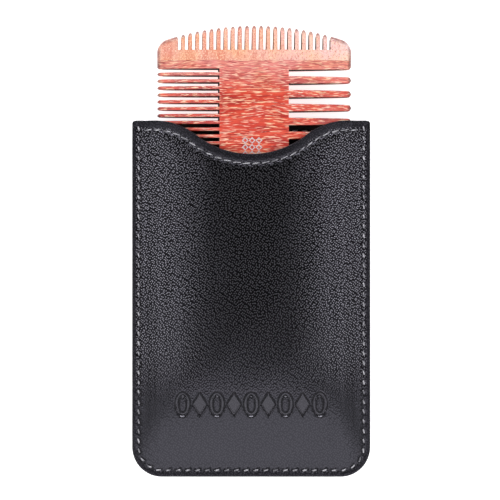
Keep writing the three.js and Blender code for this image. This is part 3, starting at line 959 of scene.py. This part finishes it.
def gap_cutter(start, reach, centre, along, half_gap, slant, lean):
    """A closed solid that saws one gap and rounds the edges of the teeth on both sides of it.

    It runs from start to reach along axis 0 (X) or 1 (Y), about centre on the other axis.
    half_gap(distance) is how far it reaches to each side of its middle; slant is how much
    shorter it is at the comb's back, and lean how far it drifts to one side for each
    millimetre deeper."""
    stations, crowding, thinnest = 30, 0.8, 0.08
    share = np.linspace(0, 1, stations) ** crowding
    step = 1 if reach > start else -1
    rings = []
    for s in share:
        at = start + (reach - start) * s
        x, y = (at, centre) if along == 0 else (centre, at)
        half = max(float(comb_half(np.float64(x), np.float64(y))), thinnest)
        rounding = min(TOOTH_ROUND, 0.8 * half)
        left, right = [gap_wall(width, half, rounding) for width in half_gap(at)]
        ring = right + [(-w, z) for w, z in left[::-1]]
        tilt = [slant * (0.5 - z / (2 * COMB_HALF_THICKNESS)) * (1 - s) for _, z in ring]
        rings.append(
            [(at + step * t, centre + w + lean * (z - half), z) for (w, z), t in zip(ring, tilt)]
        )
    points = np.array(rings).reshape(-1, 3)
    if along == 1:
        points = points[:, [1, 0, 2]]
    return points, stations, len(rings[0])


def saw(blank, cutters, name, materials):
    """The blank with all the gaps cut out of it, moved to the comb's place."""
    vertices, faces, count = [], [], 0
    for points, rings, sides in cutters:
        vertices.append(points)
        faces += tube_faces(count, rings, sides, 1)
        count += len(points)
    tool = new_object("saw_cuts", np.concatenate(vertices), faces, [])
    edit_mesh(tool, face_out)
    cut = blank.modifiers.new("cut", "BOOLEAN")
    cut.operation = "DIFFERENCE"
    cut.solver = "MANIFOLD"
    cut.object = tool
    graph = bpy.context.evaluated_depsgraph_get()
    mesh = bpy.data.meshes.new_from_object(blank.evaluated_get(graph))
    bpy.data.objects.remove(blank)
    bpy.data.objects.remove(tool)
    mesh.name = name
    obj = bpy.data.objects.new(name, mesh)
    bpy.context.scene.collection.objects.link(obj)
    paint_gaps(mesh, materials)
    offset = np.array([COMB_X, COMB_BOTTOM_Y, SEAM_Z]) * MM
    mesh.vertices.foreach_set("co", (read(mesh.vertices, "co") + offset).ravel())
    mesh.set_sharp_from_angle(angle=SHARP_ANGLE)
    mesh.update()
    return obj


def paint_gaps(mesh, materials):
    """Gives the sawn walls of the gaps the second material, a near-black painted shade."""
    mesh.materials.clear()
    for material in materials:
        mesh.materials.append(material)
    x, y, _ = read(mesh.polygons, "center").T / MM
    facing_up = read(mesh.polygons, "normal")[:, 2]
    # Walls deep in the gaps get the near-black painted shade.
    sawn = (np.abs(facing_up) < SAWN_TILT) & (inside_comb(x, y) > SAWN_DEPTH)
    mesh.polygons.foreach_set("material_index", sawn.astype(np.int32))
    mesh.polygons.foreach_set("use_smooth", [True] * len(sawn))


def tip_widening(distance_left, length, tooth, power):
    """How much each side of a gap widens near the tips, so that a tooth ends round."""
    past = np.clip(1 - distance_left / length, 0, 1)
    return (tooth / 2 - TIP_FLAT) * (1 - (1 - past**power) ** (1 / power))


def side_cutters(side, count, pitch, first, root_gap, tip_gap, tip_length, slant):
    cutters = []
    tooth = pitch - tip_gap
    reach = COMB_HALF_WIDTH

    def half_gap(at):
        distance = reach - abs(at)
        share = 1 - np.clip(distance / (reach - SPINE_HALF_WIDTH), 0, 1)
        plain = (root_gap + (tip_gap - root_gap) * share) / 2
        return [plain + tip_widening(distance, tip_length, tooth, SIDE_TIP_POWER)] * 2

    for i in range(count):
        centre = COMB_LENGTH - first - i * pitch
        end = side * (reach + SAW_PAST_SIDE)
        cutters.append(gap_cutter(side * SPINE_HALF_WIDTH, end, centre, 0, half_gap, slant, 0))
    return cutters


def crown_cutters():
    cutters = []
    tooth = CROWN_PITCH - CROWN_SLOT
    root = COMB_LENGTH - CROWN_SLOT_DEPTH
    for i in range(CROWN_TEETH + 1):
        centre = (i - CROWN_TEETH / 2) * CROWN_PITCH
        tips = [float(comb_high(np.float64(centre + s * CROWN_PITCH / 2))) for s in (-1, 1)]

        def half_gap(at, tips=tips):
            widths = [tip_widening(tip - at, CROWN_TIP, tooth, CROWN_TIP_POWER) for tip in tips]
            return [CROWN_SLOT / 2 + width for width in widths]

        end = max(tips) + SAW_PAST_CROWN
        cutters.append(gap_cutter(root, end, centre, 1, half_gap, CROWN_SLANT, SLOT_LEAN))
    return cutters


# ---- the pieces


def piece(obj, body, node):
    """Hangs a piece on the body it rides on, and hides the CAD node it stands for."""
    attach(obj, body)
    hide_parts(node)


def build_body(wood, sawn):
    columns = comb_columns()
    low = comb_low(columns)
    high = GLUE_Y - CONTACT / 2
    start = low + RIM_ROUND
    share = np.linspace(0, 1, BODY_ROWS)[1:]
    rows = [low + step for step in RIM_STEPS] + [start + (high - start) * s for s in share]
    blank = comb_blank("body_blank", rows, columns, 0, wood)
    fine = side_cutters(
        -1, FINE_GAPS, FINE_PITCH, FIRST_FINE_GAP, FINE_GAP, FINE_GAP, FINE_TIP, SAW_SLANT
    )
    coarse = side_cutters(
        1, COARSE_GAPS, FINE_PITCH * 2, FIRST_COARSE_GAP, COARSE_ROOT_GAP, COARSE_TIP_GAP,
        COARSE_TIP, 0,
    )
    body = saw(blank, fine + coarse, "comb_body_wood", [wood, sawn])
    piece(body, "comb", "comb_body")


def build_crown(wood, sawn):
    columns = comb_columns()
    high = comb_high(columns)
    low = GLUE_Y + CONTACT / 2
    end = high - RIM_ROUND
    share = np.linspace(0, 1, CROWN_ROWS)[:-1]
    rows = [low + (end - low) * s for s in share] + [high - step for step in RIM_STEPS[::-1]]
    blank = comb_blank("crown_blank", rows, columns, len(rows) - 1, wood)
    crown = saw(blank, crown_cutters(), "comb_crown_wood", [wood, sawn])
    piece(crown, "comb", "comb_crown")


def build_print():
    """A small trellis of grey lozenges stamped on the comb's spine."""
    bars = []
    pitch = PRINT_WIDTH / PRINT_COUNT
    for i in range(PRINT_COUNT):
        for j in range(PRINT_COUNT):
            x = COMB_X - PRINT_OFFSET + (i + 0.5) * pitch - PRINT_WIDTH / 2
            y = PRINT_Y + (j + 0.5) * pitch - PRINT_WIDTH / 2
            for reach in (0.5 * pitch, 0.5 * pitch - PRINT_LINE):
                bars.append([(x + reach, y), (x, y + reach), (x - reach, y), (x, y - reach)])
    low = SEAM_Z + COMB_HALF_THICKNESS + CONTACT / 3
    heights = (low, low + CONTACT)
    vertices = [(x, y, z) for z in heights for ring in bars for x, y in ring]
    level = len(vertices) // 2
    faces = []
    for first in range(0, level, 8):
        for k in range(4):
            outer, outer_next = first + k, first + (k + 1) % 4
            inner, inner_next = outer + 4, outer_next + 4
            faces += [
                (outer + level, outer_next + level, inner_next + level, inner + level),
                (outer, inner, inner_next, outer_next),
                (outer, outer_next, outer_next + level, outer + level),
                (inner, inner + level, inner_next + level, inner_next),
            ]
    stamp = new_object("spine_print", vertices, faces, [print_material()])
    stamp.data.polygons.foreach_set("use_smooth", [False] * len(stamp.data.polygons))
    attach(stamp, "comb")


def leather_grid(sign, top):
    """The columns and rows of a panel's leather, closer together over the pressed band."""
    heights = np.arange(SLEEVE_BOTTOM, SHOULDER_Y + 0.01, PANEL_STEP)
    if sign < 0:
        columns = panel_columns(PANEL_STEP, PANEL_STEP, PANEL_MIDDLE)
        return columns, panel_rows(columns, top, heights)
    columns = panel_columns(PANEL_STEP, BAND_STEP, BAND_HALF_LENGTH + 1)
    low, high = BAND_Y - FIGURE_HALF_HEIGHT - 1, BAND_Y + FIGURE_HALF_HEIGHT + 1
    outside = heights[(heights < low) | (heights > high)]
    heights = np.sort(np.concatenate([outside, np.arange(low, high, BAND_STEP)]))
    return columns, panel_rows(columns, top, heights)


def build_leather(side, sign, top, seams, materials):
    pressed = band_relief if sign > 0 else lambda x, y: 0 * x
    columns, rows = leather_grid(sign, top)

    def inner(x, y):
        return leather_inside(x, y, top) - LAYER_GAP + CONTACT

    def outer(x, y):
        plain = leather_outside(x, y, top)
        return plain - seam_relief(x, y, seams) - pressed(x, y) - edge_drop(x, y, top)

    hide = panel_object(f"{side}_leather_grain", sign, columns, rows, inner, outer, materials)
    burnish(hide.data, sign, top, pressed)
    piece(hide, "sleeve", f"{side}_leather")
    return hide


def build_lining(side, sign, top, materials):
    columns = panel_columns(LINING_STEP, LINING_STEP, PANEL_MIDDLE)
    heights = np.arange(SLEEVE_BOTTOM, SHOULDER_Y + 0.01, LINING_STEP)
    rows = panel_rows(columns, top, heights)

    def under(x, y):
        return -pocket_half(x, y, top) - LINING

    def facing(x, y):
        return -pocket_half(x, y, top)

    name = f"{side}_lining_cloth"
    cloth = panel_object(name, -sign, columns, rows, under, facing, materials, step=2)
    piece(cloth, "sleeve", f"{side}_lining")
    return cloth


def burnish(mesh, sign, top, pressed):
    """Gives the third material to the outer faces that are rubbed smooth, and the fourth to
    those that are pressed."""
    x, y, _ = read(mesh.polygons, "center").T / MM
    facing_up = read(mesh.polygons, "normal")[:, 2]
    slots = np.empty(len(x), np.int32)
    mesh.polygons.foreach_get("material_index", slots)
    outside = (slots == 0) & (sign * facing_up > 0)
    rubbed = (inside_edge(x, y) < SIDE_RUB) | (below_top(x, y, top) < MOUTH_RUB)
    slots[outside & rubbed] = 2
    slots[outside & (pressed(x, y) > PRESS_DEPTH / 20)] = 3
    mesh.polygons.foreach_set("material_index", slots)


def panel_area(top):
    x = np.linspace(-HALF_WIDTH, HALF_WIDTH, 801)
    return 2 * HALF_WIDTH * float(np.mean(top(x) - lower_edge(x))) * MM * MM


def build_sleeve():
    leather, paint = grained_leather(), edge_paint_material()
    hides = [leather, paint, burnished_leather(), tooled_leather()]
    lining, thread = lining_material(), thread_material()
    side_seam = stitch_places(side_seam_path(), SIDE_STITCH_LENGTH, SIDE_STITCH_SLANT)
    mouth_reach = HALF_WIDTH - SIDE_STITCH_INSET - MOUTH_SEAM_END
    for side, sign, top in (("front", 1, front_top), ("back", -1, back_top)):
        mouth_path = mouth_seam_path(top, mouth_reach)
        mouth_seam = stitch_places(mouth_path, MOUTH_STITCH_LENGTH, MOUTH_STITCH_SLANT)
        inner = np.abs(mouth_seam[0][:, 0]) < HALF_WIDTH - SEAM_MARGIN - WALL_RISE
        inner_seam = (mouth_seam[0][inner], mouth_seam[1][inner], MOUTH_STITCH_LENGTH)
        hide = build_leather(side, sign, top, [side_seam, mouth_seam], hides)
        cloth = build_lining(side, sign, top, [lining, paint])
        for sheet in (hide, cloth):
            panel_area(top)

        def outside(x, y, top=top):
            return leather_outside(x, y, top) - CHANNEL_DEPTH

        def inside(x, y, top=top):
            return -pocket_half(x, y, top) - CONTACT

        kind = "needle" if sign > 0 else "bobbin"
        mouth = f"{side}_mouth"
        for name, node, way, seam, surface, radius in (
            (f"{kind}_side", f"side_seam_{kind}", sign, side_seam, outside, STITCH_RADIUS),
            (f"{mouth}_needle", f"{mouth}_needle", sign, mouth_seam, outside, MOUTH_STITCH_RADIUS),
            (f"{mouth}_bobbin", f"{mouth}_bobbin", -sign, inner_seam, inside, MOUTH_STITCH_RADIUS),
        ):
            line = stitches(f"{name}_stitches", way, seam, surface, thread, radius)
            piece(line, "sleeve", f"{node}_thread")


def recolour_boards():
    card = board_material()
    for node in ("front_board", "back_board"):
        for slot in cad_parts[node].material_slots:
            slot.material = card


# ---- the stage

# Where the lights point. Each has a name, a place, a width and height, and a power in watts.
# These, and the camera's, are in metres.
LIT_POINT = (0, 0, 0.01)
LIGHTS = (
    ("left_strip", (-0.55, 0.05, 0.95), (0.07, 0.7), 1.0),
    ("right_strip", (0.55, 0.05, 0.95), (0.07, 0.7), 1.0),
    ("left_corner", (-0.56, -0.36, 0.88), (0.38, 0.5), 0.9),
    ("right_corner", (0.56, -0.36, 0.88), (0.38, 0.5), 0.85),
    ("near_box", (0.0, -0.59, 0.99), (0.8, 0.78), 4.75),
    ("far_strip", (0.0, 0.8, 0.74), (0.9, 0.09), 5.0),
)


def area_light(name, place, size, power):
    data = bpy.data.lights.new(name, "AREA")
    data.shape = "RECTANGLE"
    data.size, data.size_y = size
    data.energy = power
    light = bpy.data.objects.new(name, data)
    light.location = place
    bpy.context.scene.collection.objects.link(light)
    light.rotation_mode = "QUATERNION"
    light.rotation_quaternion = (Vector(LIT_POINT) - light.location).to_track_quat("-Z", "Y")


def build_world():
    """A light tent: dim straight up, where the camera is, and paler towards the sides."""
    world = bpy.data.worlds.new("studio")
    world.use_nodes = True
    tree = world.node_tree
    direction = tree.nodes.new("ShaderNodeTexCoord").outputs["Generated"]
    split = tree.nodes.new("ShaderNodeSeparateXYZ")
    tree.links.new(direction, split.inputs[0])
    shade = tree.nodes.new("ShaderNodeMapRange")
    shade.interpolation_type = "SMOOTHSTEP"
    for key, value in (("From Min", 0.78), ("From Max", 0.97), ("To Min", 0.5), ("To Max", 0.06)):
        shade.inputs[key].default_value = value
    tree.links.new(split.outputs["Z"], shade.inputs["Value"])
    background = tree.nodes["Background"].inputs
    tree.links.new(shade.outputs[0], background["Strength"])
    background["Color"].default_value = (1, 1, 1, 1)
    bpy.context.scene.world = world


def build_stage():
    nodes = Nodes("pale_floor")
    faint = nodes.noise(40, detail=2)
    colour = nodes.ramp(faint, [(0.3, (238, 238, 239)), (0.7, (246, 246, 246))])
    white = (1, 1, 1, 1)
    material = nodes.finish(colour, 0.8, Emission_Color=white, Emission_Strength=0.7)
    corners = ((-1, -1), (1, -1), (1, 1), (-1, 1))
    vertices = [(FLOOR_HALF * x, FLOOR_HALF * y, -CONTACT) for x, y in corners]
    new_object("floor", vertices, [[0, 1, 2, 3]], [material])
    for light in LIGHTS:
        area_light(*light)
    build_world()
    bpy.context.scene.view_settings.view_transform = "Standard"


def build_camera():
    """A long lens straight above the sleeve, which sees a square of the given width."""
    distance, seen = 0.7, 0.1683
    data = bpy.data.cameras.new("camera")
    data.sensor_width = 36
    data.lens = data.sensor_width * distance / seen
    data.clip_start = 0.01
    camera = bpy.data.objects.new("camera", data)
    camera.location = (-0.0004, 0.0162, SEAM_Z * MM + distance)
    bpy.context.scene.collection.objects.link(camera)
    bpy.context.scene.camera = camera


build_camera()
build_stage()
build_sleeve()
recolour_boards()
red, pale, gap_painted_shade = red_wood(), pale_wood(), gap_shade_material()
build_body(red, gap_painted_shade)
build_crown(pale, gap_painted_shade)
build_print()
